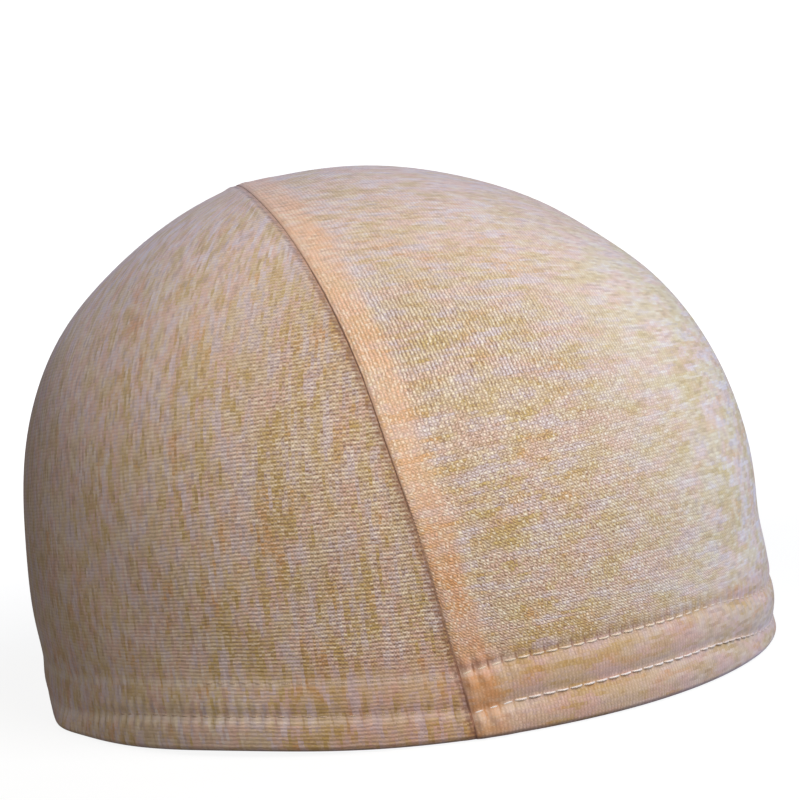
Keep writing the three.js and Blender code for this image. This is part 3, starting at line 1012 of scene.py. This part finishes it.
def mark_seam(at, yarn):
    """Painted shade: ticks at the seam's stitches, the fold, the groove line itself and its broken
    lip.
    """
    outside = at.rim.step(-0.5, 0.5)
    # Ticks of painted shade at the seam's stitches
    tick = ((at.rim * SEAM_STITCHES_PER_MM).part() - 0.5).size().step(0.16, 0.06)
    tick = tick * (1.0 - (at.seam + 0.7).size().step(0.5, 0.9))
    yarn = (tick * 0.4 * outside).colour(yarn, SEAM_SHADE)
    # Painted shade in the fold of the left panel beside the seam
    fold = 1.0 - (at.seam + 0.9).size().step(0.3, 1.0)
    yarn = (fold * 0.12 * outside).colour(yarn, HOLE_SHADE)
    # A brown line of painted shade in the groove between the panels, broken up by noise
    line_breaks = at.graph.noise(at.rim * 0.9, at.seam * 2.0, at.depth)
    groove_line = 1.0 - (at.seam.size() / (1.0 + 1.4 * at.crown)).step(0.06, 0.44)
    yarn = (groove_line * (0.5 + 0.6 * line_breaks)).colour(yarn, SEAM_GROOVE_SHADE)
    # A broken lip of painted shade on the left side of the seam
    lip_breaks = at.graph.noise(at.rim * 1.2 + 17.0, at.seam * 1.1, at.depth).step(0.44, 0.58)
    lip = 1.0 - (at.seam + 0.55).size().step(0.3, 0.9)
    return (lip * (0.4 + 0.6 * lip_breaks) * outside * 0.6).colour(yarn, SEAM_LIP_SHADE)


# %% Painted shade at the hem, and the tint of each part
# Painted shade: the darker, warmer tone multiplied over the hem
HEM_SHADE_TONE = (0.825, 0.732, 0.72, 1)


def tint_and_painted_shade(at, knit, yarn):
    """Painted shade along the turned edge, a darker tone multiplied over the hem as painted shade,
    and the tint by place.
    """
    # Painted shade along the turned edge of the rim
    yarn = ((1.0 - at.rim.size().step(0.3, 1.4)) * 0.3).colour(yarn, HOLE_SHADE)
    # Painted shade over the hem, on the left panel only near the seam
    hem_shade = 1.0 - at.rim.step(14.0, 23.0)
    if not knit["band"]:
        hem_shade = hem_shade * (1.0 - at.seam.size().step(15.0, 45.0))
    yarn = hem_shade.colour(yarn, yarn.tinted(HEM_SHADE_TONE))
    sides = at.aside.colour(knit["tint"], knit["side_tint"])
    return yarn.tinted(at.crown.colour(sides, knit["crown_tint"]))


# %% The whole jersey
def jersey(name, knit):
    """Loops, colours, painted shade and glints, and marks one over the other, with a soft sheen and
    a shallow bump.
    """
    material, graph, surface = new_material(name)
    at = ClothPlace(graph)
    raise_loops(at, knit)
    yarn, band = shade_yarn(at, knit), None
    if knit["band"]:
        band, yarn = dye_band(at, yarn)
    yarn = light_loops(at, knit, yarn, band)
    yarn = mark_seam(at, mark_hem(at, knit, yarn))
    bump = graph.node("ShaderNodeBump", None, {
        "Strength": 0.5, "Distance": 0.0003, "Height": at.height * at.crisp,
    })
    shader = graph.node("ShaderNodeBsdfPrincipled", None, {
        "Base Color": tint_and_painted_shade(at, knit, yarn),
        "Roughness": 0.88 - 0.08 * at.height, "Normal": bump,
        "Specular IOR Level": 0.2, "Sheen Weight": 0.42, "Sheen Roughness": 0.5,
        "Sheen Tint": tone(216, 220, 254),
    })
    graph.tree.links.new(shader.socket, surface)
    print(f"{name}: {len(graph.tree.nodes)} nodes")
    return material


left_cloth.data.materials.append(jersey("left_heathered_jersey", LEFT_KNIT))
right_cloth.data.materials.append(jersey("right_heathered_jersey", RIGHT_KNIT))
allowance.data.materials.append(jersey("allowance_heathered_jersey", ALLOWANCE_KNIT))


# %% [markdown]
# ## The thread's material
#
# Sewing thread is plies twisted together. A slanted wave around and along the tube gives the
# twist, as colour and bump.

# %% Twisted sewing thread
# Painted shade for the thread at the cap's sides
SIDE_SHADE_THREAD = tone(205, 178, 160)
TWIST_PER_MM = 1.6
PLIES = 2


def thread_material(name, light, shadow):
    """Plies: a sine of the turn around the thread plus the way along it; duller at the sides, as
    painted shade.
    """
    material, graph, surface = new_material(name)
    along, around = graph.map("twist")
    ply = 0.5 + 0.5 * graph.math("SINE", (along * TWIST_PER_MM + around) * (PLIES * FULL_TURN))
    fuzz = graph.noise(along * 3.0, around * 4.0)
    colour = (ply * 0.7 + fuzz * 0.3).colour(shadow, light)
    sideways, _ = graph.node("ShaderNodeTexCoord", None, None, OBJECT_OUTPUT).split()
    # Painted shade: the thread turns duller at the sides of the cap
    colour = (sideways.size().step(0.045, 0.07) * 0.7).colour(colour, SIDE_SHADE_THREAD)
    bump = graph.node("ShaderNodeBump", None, {"Strength": 0.6, "Distance": 0.0001, "Height": ply})
    shader = graph.node("ShaderNodeBsdfPrincipled", None, {
        "Base Color": colour, "Roughness": 0.6 + 0.2 * fuzz, "Normal": bump,
        "Specular IOR Level": 0.35, "Sheen Weight": 0.2,
    })
    graph.tree.links.new(shader.socket, surface)
    return material


pale_thread = thread_material("pale_sewing_thread", tone(252, 244, 238), tone(232, 215, 205))
# A darker copy of the sewing thread for the left panel, which lies in shade: painted shade
shaded_thread = thread_material("shaded_sewing_thread", tone(222, 196, 170), tone(186, 156, 132))
cream_thread = thread_material("cream_sewing_thread", tone(248, 233, 213), tone(222, 201, 178))
for piece, thread in zip(hem_threads, (pale_thread, cream_thread, shaded_thread, shaded_thread)):
    piece.data.materials.append(thread)
for piece in (looper_right, looper_left, edge_thread):
    piece.data.materials.append(pale_thread)

# %% [markdown]
# ## Floor, light and camera
#
# The cap stands on a near-white floor in soft studio light. The largest lamp stands above the
# front right, so the left side falls into shade, and a white surround fills the rest. The camera
# is rolled so that the rim rises to the right.

# %% The floor, with a painted shadow around the cap
bpy.ops.mesh.primitive_plane_add(size=400, location=(0, 0, -0.0002))
floor = bpy.context.object
floor.name = "studio_floor"
material, graph, surface = new_material("white_studio_floor")
spot = graph.node("ShaderNodeTexCoord", None, None, OBJECT_OUTPUT)
distance = graph.node("ShaderNodeVectorMath", {"operation": "LENGTH"}, {0: spot}, 1)
grit = graph.node("ShaderNodeTexNoise", None, {"Vector": spot, "Scale": 40.0})
# The floor glows white, and less near the cap: a painted shadow around it
glow_and_painted_shadow = distance.step(0.12, 0.5).colour((0.9, 0.9, 0.9, 1), (1.1, 1.1, 1.1, 1))
shader = graph.node("ShaderNodeBsdfPrincipled", None, {
    "Base Color": grit.colour((0.13, 0.13, 0.13, 1), (0.15, 0.15, 0.15, 1)),
    "Roughness": 0.9, "Specular IOR Level": 0.1,
    "Emission Color": glow_and_painted_shadow, "Emission Strength": 1.0,
})
graph.tree.links.new(shader.socket, surface)
floor.data.materials.append(material)
floor.visible_diffuse = False
floor.visible_glossy = False
floor.visible_shadow = False


# %% The lamps
CAP_MIDDLE = Vector((0, 0, 0.06))


def soft_box(name, azimuth, elevation, distance, size, power, colour=(1, 1, 1)):
    """A square lamp at a bearing around the cap and a height above the floor, aimed at the cap."""
    a, e = np.radians([azimuth, elevation])
    back = Vector((np.sin(a) * np.cos(e), -np.cos(a) * np.cos(e), np.sin(e)))
    data = bpy.data.lights.new(name, "AREA")
    data.shape, data.size, data.energy, data.color = "SQUARE", size, power, colour
    lamp = bpy.data.objects.new(name, data)
    bpy.context.scene.collection.objects.link(lamp)
    lamp.location = CAP_MIDDLE + back * distance
    lamp.rotation_mode = "QUATERNION"
    lamp.rotation_quaternion = back.to_track_quat("Z", "Y")


soft_box("key_soft_box", 30, 42, 1.6, 1.0, 18.6)
soft_box("front_soft_box", 25, 14, 1.6, 0.9, 6.3, (1, 0.93, 0.85))
soft_box("right_soft_box", 100, 12, 1.6, 0.9, 8.5, (0.5, 0.84, 1.45))
soft_box("left_soft_box", -45, 12, 1.6, 0.9, 4.1, (1, 0.9, 0.8))

# %% The white surround
world = bpy.data.worlds.new("white_surround")
world.use_nodes = True
bpy.context.scene.world = world
tree = world.node_tree
tree.nodes.clear()
graph = Wire(tree)
seen = graph.node("ShaderNodeLightPath")
fill = graph.node("ShaderNodeBackground", None, {"Color": (1, 0.98, 0.95, 1), "Strength": 0.085})
white = graph.node("ShaderNodeBackground", None, {"Color": (1, 1, 1, 1), "Strength": 1.1})
mixed = graph.node("ShaderNodeMixShader", None, {0: seen, 1: fill, 2: white})
tree.links.new(mixed.socket, tree.nodes.new("ShaderNodeOutputWorld").inputs["Surface"])
bpy.context.scene.view_settings.view_transform = "Standard"

# %% The camera at the photograph's angle
CAMERA_AZIMUTH = -6.7
CAMERA_ELEVATION = 6.242
CAMERA_ROLL = 6.785
CAMERA_DISTANCE = 0.9
FOCAL_PIXELS = 4033
PICTURE_SIDE = 800
AIM_RIGHT, AIM_UP = 4.99 * MM, -1.27 * MM

azimuth, elevation, roll = np.radians([CAMERA_AZIMUTH, CAMERA_ELEVATION, CAMERA_ROLL])
level = np.cos(elevation)
back = Vector((np.sin(azimuth) * level, -np.cos(azimuth) * level, np.sin(elevation)))
right = Vector((np.cos(azimuth), np.sin(azimuth), 0))
up = back.cross(right)
place = CAP_MIDDLE + back * CAMERA_DISTANCE
aim = CAP_MIDDLE + right * AIM_RIGHT + up * AIM_UP
back = (place - aim).normalized()
right = Vector((0, 0, 1)).cross(back).normalized()
up = back.cross(right)
picture_right = right * np.cos(roll) - up * np.sin(roll)
picture_up = right * np.sin(roll) + up * np.cos(roll)
lens = bpy.data.cameras.new("camera")
lens.sensor_width = 36
lens.lens = FOCAL_PIXELS / PICTURE_SIDE * lens.sensor_width
camera = bpy.data.objects.new("camera", lens)
bpy.context.scene.collection.objects.link(camera)
turned = Matrix((picture_right, picture_up, back)).transposed().to_4x4()
camera.matrix_world = Matrix.Translation(place) @ turned
bpy.context.scene.camera = camera
print(f"camera {place.z * 1000:.0f} mm above the floor, lens {lens.lens:.1f} mm")
